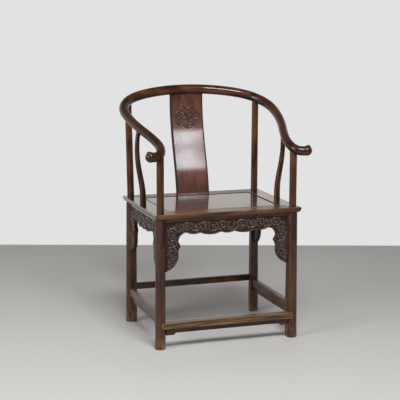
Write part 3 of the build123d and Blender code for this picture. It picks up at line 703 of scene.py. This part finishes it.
@dataclass
class Relief:
    """Low relief cut flat, in a plane of its own, from stems, curls, leaves and buds.

    The fields down to edge_clear are lengths. Names in _width or _root are shares of the relief's
    width. fan_start, fan_length, frond_bend, frond_leaves, joint_leaf and the curl and bud shares
    are shares of the radius that they go with. end_fan is in radians, spur_margin in leaf spaces,
    and leaf_swell and leaf_tip give a part of the leaf and its taper.
    """

    name: str
    width: float = 0.0054
    leaf_pitch: float = 0.0084
    leaf_bend: float = 0.013
    spur_pitch: float = 0.0105
    spur_length: float = 0.0080
    edge_clear: float = 0.0034
    stem_width: float = 0.50
    curl_width: float = 0.40
    curl_share: float = 0.84
    curl_share_step: float = 0.05
    bud_share: float = 0.22
    bud_shape: Point = (1.15, 0.8, 0.95)
    fewest_leaves: int = 3
    fan_start: float = 0.62
    fan_length: float = 0.56
    fan_lean_deg: float = -38.0
    end_fan: Band = (1.2, 4.2)
    frond_every: int = 3
    frond_width: float = 0.42
    frond_ribs: int = 5
    frond_bend: float = 0.66
    frond_step_deg: float = 40.0
    frond_taper: float = 0.88
    frond_leaves: Band = (0.46, 0.34)
    frond_lean_deg: float = 48.0
    fewest_spurs: int = 2
    spurs_left_out: int = 2
    spur_margin: Band = (1.2, 1.4)
    spur_root: float = 0.25
    spur_lean_deg: float = 52.0
    leaf_width: float = 0.23
    leaf_aim: float = 0.5
    leaf_swell: Band = (0.55, 2.8)
    leaf_tip: Band = (0.45, 0.14)
    joint_leaf: float = 0.6
    joint_root: float = 0.6
    on_wood: Callable[[Vector], bool] | None = None
    pieces: list[Object] = field(default_factory=list)
    chisel: Chisel = field(default_factory=Chisel)

    def begin(self, at: Vector, heading: Vector, share: float) -> None:
        """Opens a new stem, as wide as a share of the relief's width."""
        self.pieces.append(self.chisel.start(self.name, at, heading, self.width * share))

    def stem(self, start: Vector, heading: Vector, arcs: list[tuple[Vector, float]]) -> None:
        """Cuts one long stem.

        Args:
            start: where it starts.
            heading: the way it sets out.
            arcs: the centres that it turns about in order, with the angles in radians.
        """
        self.begin(start, heading, self.stem_width)
        end = start
        for centre, angle in arcs:
            end = self.chisel.turn(end, centre, angle)
        self.chisel.close()

    def curl(
        self,
        at: Vector,
        centre: Vector,
        side: int,
        share: float = 0.80,
        swing: float = 0.0,
        quarters: int = len(CURL_QUARTERS),
    ) -> None:
        """Winds a curl into a coil and ends it in a bud.

        Args:
            at: where it starts.
            centre: the middle of the coil.
            side: 1 if it winds from +X towards +Z, -1 the other way.
            share: its first radius, as a share of the coil's.
            swing: angle in radians that it first follows the coil itself.
            quarters: how many quarter turns it winds inwards.
        """
        spoke = at - centre
        radius = spoke.length * share
        heading = square_to(spoke, side)
        self.begin(at, heading, self.curl_width)
        end = at
        if swing:
            end = self.chisel.turn(end, centre, swing * side)
            heading = square_to(end - centre, side)
        for tighter, taper in CURL_QUARTERS[:quarters]:
            pivot = end + beside(heading) * side * radius * tighter
            end = self.chisel.turn(end, pivot, QUARTER * side, taper)
            heading = square_to(end - pivot, side)
        self.chisel.close()
        self.bud(end, radius * self.bud_share)

    def fan(self, rim: Rim, side: int) -> None:
        """Spreads pointed leaves inside the open side of a coil.

        Args:
            rim: the open side.
            side: the way the leaves bend.
        """
        count = max(self.fewest_leaves, round(abs(rim.sweep) * rim.radius / self.leaf_pitch))
        for index in range(count):
            out = ray_at(rim.first + rim.sweep * (index + 0.5) / count)
            heading = swung(out, math.radians(self.fan_lean_deg) * side)
            root = rim.centre + out * rim.radius * self.fan_start
            self.leaf(root, heading, side, rim.radius * self.fan_length)

    def frond(self, at: Vector, centre: Vector, side: int) -> None:
        """Lays a feathered leaf across a coil.

        Args:
            at: where it leaves the stem.
            centre: the middle of the coil.
            side: the way it bends, as for a curl.
        """
        radius = (at - centre).length
        heading = square_to(at - centre, side)
        self.begin(at, heading, self.frond_width)
        ribs = []
        end = at
        angle = math.radians(self.frond_step_deg) * side
        for _ in range(self.frond_ribs):
            pivot = end + beside(heading) * side * radius * self.frond_bend
            end = self.chisel.turn(end, pivot, angle, self.frond_taper)
            heading = square_to(end - pivot, side)
            ribs.append((end, heading))
        self.chisel.close()
        for end, heading in ribs:
            for way, reach in zip((side, -side), self.frond_leaves):
                aside = swung(heading, math.radians(self.frond_lean_deg) * way)
                self.leaf(end, aside, way, radius * reach)

    def spurs(self, rim: Rim, side: int) -> None:
        """Sets short leaves along the outside of the vine.

        Args:
            rim: where the vine follows a coil.
            side: the way the leaves bend.
        """
        fitting = round(abs(rim.sweep) * rim.radius / self.spur_pitch) - self.spurs_left_out
        count = max(self.fewest_spurs, fitting)
        before, both_ends = self.spur_margin
        for index in range(count):
            out = ray_at(rim.first + rim.sweep * (index + before) / (count + both_ends))
            heading = swung(out, math.radians(self.spur_lean_deg) * side)
            root = rim.centre + out * (rim.radius + self.width * self.spur_root)
            self.leaf(root, heading, -side, self.spur_length)

    def leaf(self, start: Vector, heading: Vector, side: int, length: float) -> None:
        """Cuts one drop-shaped leaf, where its tip finds wood.

        Args:
            start: where it starts.
            heading: the way it sets out.
            side: the way its end bends.
            length: how long it is.
        """
        share = length / self.leaf_bend
        tip = swung(heading, self.leaf_aim * share * side)
        if self.on_wood and not self.on_wood(start + tip * (length + self.edge_clear)):
            return
        self.begin(start, heading, self.leaf_width)
        centre = start + beside(heading) * side * self.leaf_bend
        end = start
        for part, taper in (self.leaf_swell, self.leaf_tip):
            end = self.chisel.turn(end, centre, part * share * side, taper)
        self.chisel.close()

    def bud(self, at: Vector, radius: float) -> None:
        """Rounds a small bud.

        Args:
            at: its middle.
            radius: its size before it is flattened.
        """
        bpy.ops.object.select_all(action="DESELECT")
        bpy.ops.mesh.primitive_uv_sphere_add(segments=10, ring_count=6, radius=radius, location=at)
        bpy.ops.transform.resize(value=self.bud_shape, center_override=at)
        bpy.ops.object.transform_apply(location=True, rotation=True, scale=True)
        self.pieces.append(bpy.context.object)

    def vine(self, centres: list[Vector], radii: list[float], first_side: int) -> None:
        """Weaves a stem between coils and fills each one.

        Args:
            centres: the coils' middles; the stem starts beside the first.
            radii: the coils' radii; neighbours touch.
            first_side: the way that the stem passes the first coil.
        """
        joints = [
            a + (b - a).normalized() * radius
            for a, b, radius in zip(centres, centres[1:], radii)
        ]
        arcs = []
        side = first_side
        for centre, before, after in zip(centres[1:], joints, joints[1:]):
            start, stop = before - centre, after - centre
            angle = (math.atan2(stop.z, stop.x) - math.atan2(start.z, start.x)) * side
            arcs.append((centre, (angle % math.tau) * side))
            side = -side
        self.stem(joints[0], square_to(joints[0] - centres[1], first_side), arcs)
        side = first_side
        for index, (centre, before) in enumerate(zip(centres[1:-1], joints)):
            odd = index % 2
            if index % self.frond_every == 1:
                self.frond(before, centre, side)
            else:
                share = self.curl_share - self.curl_share_step * odd
                self.curl(before, centre, side, share, quarters=len(CURL_QUARTERS) - odd)
            taken = arcs[index][1]
            first = math.atan2(before.z - centre.z, before.x - centre.x)
            radius = (before - centre).length
            self.fan(Rim(centre, radius, first, taken - math.tau * side), -side)
            self.spurs(Rim(centre, radius, first, taken), side)
            side = -side
        fan_from, fan_sweep = self.end_fan
        for index, way in ((-1, side), (0, -first_side)):
            joint, centre = joints[index], centres[index]
            self.curl(joint, centre, way)
            radius = (joint - centre).length
            start = math.atan2(joint.z - centre.z, joint.x - centre.x)
            self.fan(Rim(centre, radius, start + way * fan_from, way * fan_sweep), -way)
        for first_centre, joint in zip(centres, joints):
            outward = square_to(joint - first_centre, 1)
            for way, bend in ((outward, 1), (-outward, -1)):
                length = (joint - first_centre).length * self.joint_leaf
                self.leaf(joint + way * self.width * self.joint_root, way, bend, length)

    def join(self) -> Object:
        """Joins the cut pieces, smooths them and marks how high each point stands.

        Returns:
            The pieces as one object.
        """
        relief = joined(self.pieces)
        relief.name = self.name
        relief.data.name = self.name
        bpy.ops.object.shade_smooth()
        height = relief.data.attributes.new(HEIGHT, "FLOAT", "POINT")
        for vertex, point in zip(relief.data.vertices, height.data):
            point.value = max(0.0, min(1.0, -2.0 * vertex.co.y / self.width))
        return relief


class Face(Enum):
    """Sides of the chair that carry carving: the turn that brings a flat relief there."""

    FRONT = 0.0
    RIGHT = 90.0
    LEFT = -90.0


@dataclass
class CarvedPanel:
    """Carving of one upper apron and its two spandrels, with a bead along their lower edge."""

    name: str
    face: Face
    nodes: tuple[str, str, str]
    half: list[Coil]
    half_width: float
    drop: float
    frame_underside: float = 0.488
    frame_gap: float = 0.001
    mitre_depth: float = 0.0445
    mitre_share: float = 0.125
    mitre_slants: Band = (0.3, 0.95)
    bead_radius: float = 0.0018
    bead_in: float = 0.0021
    plain_edge: float = 0.0004
    probe: float = 0.02
    probe_reach: float = 1.1
    flat_from: float = 0.99
    wall_below: float = 0.2

    def chain(self) -> tuple[list[Vector], list[float]]:
        """Lays the coils out one after another, and their mirror images before them.

        Returns:
            The coils' middles and radii, from the left spandrel's tip to the right one's.
        """
        spot = Vector((0.0, 0.0, self.drop))
        right: list[Vector] = []
        reach = 0.0
        for coil in self.half:
            spot = spot + ray_at(math.radians(coil.bearing_deg)) * (reach + coil.radius)
            reach = coil.radius
            right.append(spot)
        left = [Vector((-p.x, 0.0, p.z)) for p in reversed(right)]
        radii = [coil.radius for coil in self.half]
        return left + right, radii[::-1] + radii

    def seat(self, lift: float) -> Matrix:
        """Finds the move that brings a flat relief onto the boards.

        Args:
            lift: how far it stands off the boards.

        Returns:
            The move.
        """
        low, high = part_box(self.nodes[0])
        if self.face is Face.FRONT:
            spot = Vector((0.0, low.y, self.frame_underside))
        else:
            across = high.x if self.face is Face.RIGHT else low.x
            spot = Vector((across, ((low + high) / 2).y, self.frame_underside))
        turn = Matrix.Rotation(math.radians(self.face.value), 4, "Z")
        return Matrix.Translation(spot + turn @ Vector(TOWARDS_VIEWER) * lift) @ turn

    def on_wood(self, point: Vector) -> bool:
        """Tells whether a point of the flat relief lies over one of the boards.

        Args:
            point: the point, in the relief's own plane.

        Returns:
            Whether a probe from just outside meets wood there.
        """
        outside = self.seat(self.probe)
        start = outside @ point
        way = outside.to_3x3() @ Vector(TOWARDS_VIEWER) * -1.0
        reach = self.probe * self.probe_reach
        boards = (frame["nodes"][node] for node in self.nodes)
        return any(board.ray_cast(start, way, distance=reach)[0] for board in boards)

    def carve(self) -> Object:
        """Cuts the vine and lays it on the boards.

        Returns:
            The carving.
        """
        relief = Relief(self.name, on_wood=self.on_wood)
        relief.vine(*self.chain(), first_side=1)
        carving = relief.join()
        carving.data.transform(self.seat(self.plain_edge))
        return carving

    def bead(self) -> Object:
        """Runs a raised bead along the shaped edges of the boards.

        Returns:
            The bead.
        """
        turn = Matrix.Rotation(math.radians(self.face.value), 3, "Z")
        outward = turn @ Vector(TOWARDS_VIEWER)
        bpy.ops.object.select_all(action="DESELECT")
        copies = []
        for node in self.nodes:
            board = frame["nodes"][node]
            copy = bpy.data.objects.new(f"{self.name}_bead", board.data.copy())
            bpy.context.scene.collection.objects.link(copy)
            copies.append(copy)
            self.keep_shaped_edge(copy, outward)
        bead = joined(copies)
        bpy.ops.object.convert(target="CURVE")
        bead.data.bevel_depth = self.bead_radius
        bead.data.bevel_resolution = 2
        bead.data.use_fill_caps = True
        bpy.ops.object.convert(target="MESH")
        bpy.ops.object.shade_smooth()
        return bead

    def keep_shaped_edge(self, copy: Object, outward: Vector) -> None:
        """Leaves only the shaped edge of a board's face, moved a little way in.

        Args:
            copy: a copy of the board.
            outward: the way that the carved face looks.
        """
        bpy.context.view_layer.objects.active = copy
        copy.select_set(True)
        bpy.ops.object.mode_set(mode="EDIT")
        bpy.ops.mesh.select_mode(type="EDGE")
        bpy.ops.mesh.select_all(action="SELECT")
        bpy.ops.mesh.remove_doubles(threshold=WELD)
        bpy.ops.mesh.select_all(action="DESELECT")
        bpy.ops.object.mode_set(mode="OBJECT")
        mesh = copy.data
        sides: dict[tuple[int, int], list[Vector]] = {}
        for polygon in mesh.polygons:
            for key in polygon.edge_keys:
                sides.setdefault(key, []).append(polygon.normal.copy())
        inward: dict[int, Vector] = {}
        kept = []
        for edge in mesh.edges:
            normals = sides.get(tuple(sorted(edge.vertices)), [])
            flats = [n for n in normals if n.dot(outward) > self.flat_from]
            walls = [n for n in normals if abs(n.dot(outward)) < self.wall_below]
            if not flats or not walls or not self.is_shaped(mesh, edge, walls[0]):
                continue
            kept.append(edge.index)
            for vertex in edge.vertices:
                inward[vertex] = inward.get(vertex, Vector()) - walls[0]
        for vertex, way in inward.items():
            mesh.vertices[vertex].co += way.normalized() * self.bead_in + outward * self.plain_edge
        for index in kept:
            mesh.edges[index].select = True
        bpy.ops.object.mode_set(mode="EDIT")
        bpy.ops.mesh.select_all(action="INVERT")
        bpy.ops.mesh.delete(type="EDGE")
        bpy.ops.mesh.select_all(action="SELECT")
        bpy.ops.mesh.delete(type="ONLY_FACE")
        bpy.ops.object.mode_set(mode="OBJECT")
        copy.select_set(False)

    def is_shaped(self, mesh: Mesh, edge: MeshEdge, wall: Vector) -> bool:
        """Tells whether an edge is on the outline, away from the frame and the mitre.

        Args:
            mesh: the board's mesh.
            edge: one of its edges.
            wall: the way that the wall beside the edge looks.

        Returns:
            Whether the bead follows it.
        """
        first, last = (mesh.vertices[v].co for v in edge.vertices)
        if min(first.z, last.z) > self.frame_underside - self.frame_gap:
            return False
        low, high = self.mitre_slants
        long = (last - first).length > self.half_width * self.mitre_share
        slanted = low < abs(wall.z) < high and long
        return not (slanted and max(first.z, last.z) > self.frame_underside - self.mitre_depth)


@dataclass
class SplatMedallion:
    """Lobed cloud medallion in low relief on the upper part of the splat.

    Depths are shares of half a stem's width, petal shares are of a lobe's radius.
    """

    name: str = "splat_medallion"
    centre_z: float = 0.8270
    half_width: float = 0.0370
    half_height: float = 0.0275
    stem_width: float = 0.0050
    stem_depth: float = 0.85
    # Painted shadow outline: how wide its stems are and how far they stand out.
    groove_width: float = 0.0084
    outline_depth: float = 0.08
    lobes: int = 7
    lobe_shift: float = 0.25
    lobe_radius: float = 0.0152
    lobe_sweep_deg: float = 222.0
    petals_deg: tuple[float, ...] = (-48.0, 0.0, 48.0)
    petal_root: float = 0.08
    petal_length: float = 0.55
    curl_radius: float = 0.0140
    curl_share: float = 0.95
    curl_swing_deg: float = 115.0
    curl_quarters: int = 4
    curl_out: Vector = field(default_factory=lambda: Vector((0.0112, 0.0, -0.0032)))
    spur_sweep_deg: float = -150.0
    look_from_y: float = -0.5
    beside_y: float = 0.2

    def carve(self) -> Object:
        """Cuts the medallion's raised stems.

        Returns:
            The carving.
        """
        return self.cut(self.name, self.stem_width, self.stem_depth)

    def painted_shadow_outline(self) -> Object:
        """Lays low, wide copies of the stems under them in dark wood: a painted shadow outline that
        stands for grooves round the medallion.

        Returns:
            The painted shadow outline.
        """
        return self.cut(f"{self.name}_groove", self.groove_width, self.outline_depth)

    def cut(self, name: str, width: float, depth: float) -> Object:
        """Cuts the medallion's stems and lays them on the curved splat.

        Args:
            name: the new piece's name.
            width: the stems' width.
            depth: how far they stand out, as a share of half their width.

        Returns:
            The new piece.
        """
        relief = Relief(name, width=width)
        half_sweep = math.radians(self.lobe_sweep_deg / 2)
        for index in range(self.lobes):
            out = ray_at(math.tau * (index + self.lobe_shift) / self.lobes)
            centre = Vector((out.x * self.half_width, 0.0, out.z * self.half_height))
            start = centre + swung(out, -half_sweep) * self.lobe_radius
            relief.stem(start, square_to(start - centre, 1), [(centre, 2 * half_sweep)])
            for turn_deg in self.petals_deg:
                heading = swung(out, math.radians(turn_deg))
                petal = centre + heading * self.lobe_radius * self.petal_root
                length = self.lobe_radius * self.petal_length
                relief.leaf(petal, heading, 1 if turn_deg > 0 else -1, length)
        swing = math.radians(self.curl_swing_deg)
        for way in (-1, 1):
            centre = Vector((self.curl_out.x * way, 0.0, self.curl_out.z * way))
            start = centre + Vector((-way * self.curl_radius, 0.0, 0.0))
            relief.curl(start, centre, 1, self.curl_share, swing, self.curl_quarters)
            first = QUARTER if way > 0 else 3 * QUARTER
            sweep = math.radians(self.spur_sweep_deg)
            relief.spurs(Rim(centre, self.curl_radius, first, sweep), 1)
        carving = relief.join()
        self.lay(carving, depth)
        return carving

    def lay(self, carving: Object, depth: float) -> None:
        """Lays the flat carving on the splat's curved face; points that miss it go to beside_y.

        Args:
            carving: the carving.
            depth: its depth, as a share of what it was cut with.
        """
        splat = frame["nodes"]["back_splat"]
        backwards = Vector((0.0, 1.0, 0.0))
        for vertex in carving.data.vertices:
            height = vertex.co.z + self.centre_z
            in_front = Vector((vertex.co.x, self.look_from_y, height))
            hit, spot, _, _ = splat.ray_cast(in_front, backwards)
            face_y = spot.y if hit else self.beside_y
            vertex.co = Vector((vertex.co.x, face_y + vertex.co.y * depth, height))


def finish_piece(piece: Object, material: Material) -> None:
    """Gives a new piece its timber, and lets it ride on the chair.

    Args:
        piece: the new piece.
        material: its timber.
    """
    piece.data.materials.clear()
    piece.data.materials.append(material)
    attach(piece, ROOT)
    log.info("%s: %d faces", piece.name, len(piece.data.polygons))


def carve_all() -> None:
    """Carves the aprons, the spandrels and the splat."""
    panels = [
        CarvedPanel(
            "front_carving",
            Face.FRONT,
            ("front_apron", "front_spandrel_right", "front_spandrel_left"),
            FRONT_COILS,
            half_width=0.249,
            drop=-0.026,
        )
    ]
    for side, face in (("right", Face.RIGHT), ("left", Face.LEFT)):
        panels.append(
            CarvedPanel(
                f"side_carving_{side}",
                face,
                (f"side_apron_{side}", f"side_spandrel_front_{side}", f"side_spandrel_rear_{side}"),
                SIDE_COILS,
                half_width=0.1875,
                drop=-0.031,
            )
        )
    # Painted light and shade: the raised stems take a lighter wood than the dark ground under them.
    raised = LIT_RELIEF_TIMBER.material(Grain.UPRIGHT, 31.0)
    edging = EDGE_TIMBER.material(Grain.UPRIGHT, 32.0)
    for panel in panels:
        finish_piece(panel.carve(), raised)
        bead = panel.bead()
        bead.name = f"{panel.name}_bead"
        finish_piece(bead, edging)
    medallion = SplatMedallion()
    # The medallion's lighter wood is partly painted highlight.
    finish_piece(medallion.carve(), LIT_MEDALLION_TIMBER.material(Grain.SPLAT, 5.0))
    # Painted shadow outline round the medallion's stems, in the dark ground timber.
    finish_piece(medallion.painted_shadow_outline(), SHADED_GROUND_TIMBER.material(Grain.SPLAT, 6.0))


@dataclass(frozen=True)
class SoftBox:
    """Rectangular soft light; its power is in watts."""

    name: str
    at: Point
    width: float
    height: float
    power: float
    aim: Point
    tint: Colour = (1.0, 1.0, 1.0)

    def hang(self) -> None:
        """Hangs the light and turns it towards what it faces."""
        direction = Vector(self.aim) - Vector(self.at)
        turn = direction.to_track_quat("-Z", "Y").to_euler()
        bpy.ops.object.light_add(type="AREA", location=self.at, rotation=turn)
        lamp = bpy.context.object
        lamp.name = self.name
        lamp.data.shape = "RECTANGLE"
        lamp.data.size = self.width
        lamp.data.size_y = self.height
        lamp.data.energy = self.power
        lamp.data.color = self.tint
        log.info("%s: %g W", lamp.name, self.power)


COOL = (0.93, 0.95, 1.0)
WINDOW_AIM = (0.0, 0.2, 0.72)

# The window's layers stand one behind the other: of lights in one place only one is mirrored.
SOFT_BOXES = (
    SoftBox("window_middle", (1.50, -3.95, 2.80), 0.18, 0.36, 2.9, WINDOW_AIM, COOL),
    SoftBox("window_pane", (1.5062, -3.967, 2.8086), 0.34, 0.52, 3.4, WINDOW_AIM, COOL),
    SoftBox("window_edges", (1.5124, -3.984, 2.8172), 0.80, 0.60, 2.4, WINDOW_AIM, COOL),
    SoftBox("key_light", (-0.25, -2.1, 3.0), 1.2, 0.9, 90.0, (0.0, -0.1, 0.3)),
    SoftBox("side_light", (-3.2, -1.2, 1.7), 1.2, 1.6, 55.0, (0.0, 0.0, 0.5)),
)


@dataclass
class Studio:
    """Plain pale floor and backdrop, the surround that lights the chair, and the camera."""

    camera_at: Point = (-1.5351, -4.4331, 1.3366)
    pitch_deg: float = 80.1116
    yaw_deg: float = -18.7660
    roll_deg: float = 0.1544
    lens_mm: float = 107.483
    sensor_mm: float = 36.0
    floor_reach: float = 14.0
    floor_back: float = 6.26
    floor_colour: Colour = (0.60, 0.595, 0.585)
    floor_roughness: float = 0.55
    backdrop: Colour = (0.76, 0.76, 0.76)
    pale_side: Point = (-0.194, 0.981, 0.0)
    pale_span: Band = (-0.25, 0.30)
    dark_room: Colour = (0.045, 0.045, 0.045)
    pale_wall: Colour = (0.745, 0.715, 0.665)
    ceiling_span: Band = (0.28, 0.58)
    ceiling: Colour = (0.11, 0.105, 0.10)

    def lay_floor(self) -> None:
        """Lays a plain floor that ends behind the chair, square to the camera's heading."""
        heading = math.radians(-self.yaw_deg)
        ahead = Vector((math.sin(heading), math.cos(heading), 0.0))
        beyond = self.floor_back - self.floor_reach / 2
        middle = Vector((*self.camera_at[:2], 0.0)) + ahead * beyond
        bpy.ops.mesh.primitive_plane_add(size=1.0, location=middle, rotation=(0.0, 0.0, -heading))
        floor = bpy.context.object
        floor.name = "floor"
        floor.scale = (self.floor_reach * 2, self.floor_reach, 1.0)
        bpy.ops.object.transform_apply(location=True, rotation=True, scale=True)
        floor.data.materials.append(self.floor_finish())

    def floor_finish(self) -> Material:
        """Makes the floor's plain, pale finish.

        Returns:
            The new material.
        """
        material = bpy.data.materials.new("pale_floor")
        material.use_nodes = True
        shader = material.node_tree.nodes["Principled BSDF"]
        shader.inputs["Base Color"].default_value = (*self.floor_colour, 1.0)
        shader.inputs["Roughness"].default_value = self.floor_roughness
        return material

    def set_surround(self) -> None:
        """Sets a plain backdrop for the camera, and the surround that lights the chair.

        The surround is pale behind the chair and dark in front of it and overhead; it gives the
        ambient light and what the polish mirrors, and the camera never sees it.
        """
        world = bpy.context.scene.world or bpy.data.worlds.new("surround")
        bpy.context.scene.world = world
        world.use_nodes = True
        tree = world.node_tree
        tree.nodes.clear()
        board = NodeBoard(tree)
        ray = board.add("ShaderNodeTexCoord").outputs["Generated"]
        aside = board.add("ShaderNodeVectorMath", ray, self.pale_side, operation="DOT_PRODUCT")
        behind = board.span(aside.outputs["Value"], *self.pale_span)
        overhead = board.span(board.axis(ray, "Z"), *self.ceiling_span)
        room = board.mix(behind, self.dark_room, self.pale_wall)
        surround = board.add("ShaderNodeBackground", board.mix(overhead, room, self.ceiling))
        backdrop = board.add("ShaderNodeBackground", (*self.backdrop, 1.0))
        seen = board.add("ShaderNodeLightPath").outputs["Is Camera Ray"]
        grounds = (ground.outputs["Background"] for ground in (surround, backdrop))
        choice = board.add("ShaderNodeMixShader", seen, *grounds)
        board.add("ShaderNodeOutputWorld", choice.outputs["Shader"])

    def set_camera(self) -> None:
        """Stands the camera to the chair's left, a little above it."""
        level = Euler((math.radians(self.pitch_deg), 0.0, math.radians(self.yaw_deg)), "XYZ")
        turn = level.to_matrix() @ Matrix.Rotation(math.radians(self.roll_deg), 3, "Z")
        bpy.ops.object.camera_add(location=self.camera_at, rotation=turn.to_euler("XYZ"))
        camera = bpy.context.object
        camera.name = "camera"
        camera.data.lens = self.lens_mm
        camera.data.sensor_width = self.sensor_mm
        bpy.context.scene.camera = camera
        bpy.context.scene.view_settings.view_transform = "Standard"


def main() -> None:
    """Dresses the chair and sets the studio."""
    logging.basicConfig(level=logging.INFO, format="%(message)s")
    bpy.ops.object.select_all(action="DESELECT")
    Joinery(frame["nodes"]).dress()
    carve_all()
    studio = Studio()
    studio.lay_floor()
    studio.set_surround()
    for box in SOFT_BOXES:
        box.hang()
    studio.set_camera()


if __name__ == "__main__":
    main()
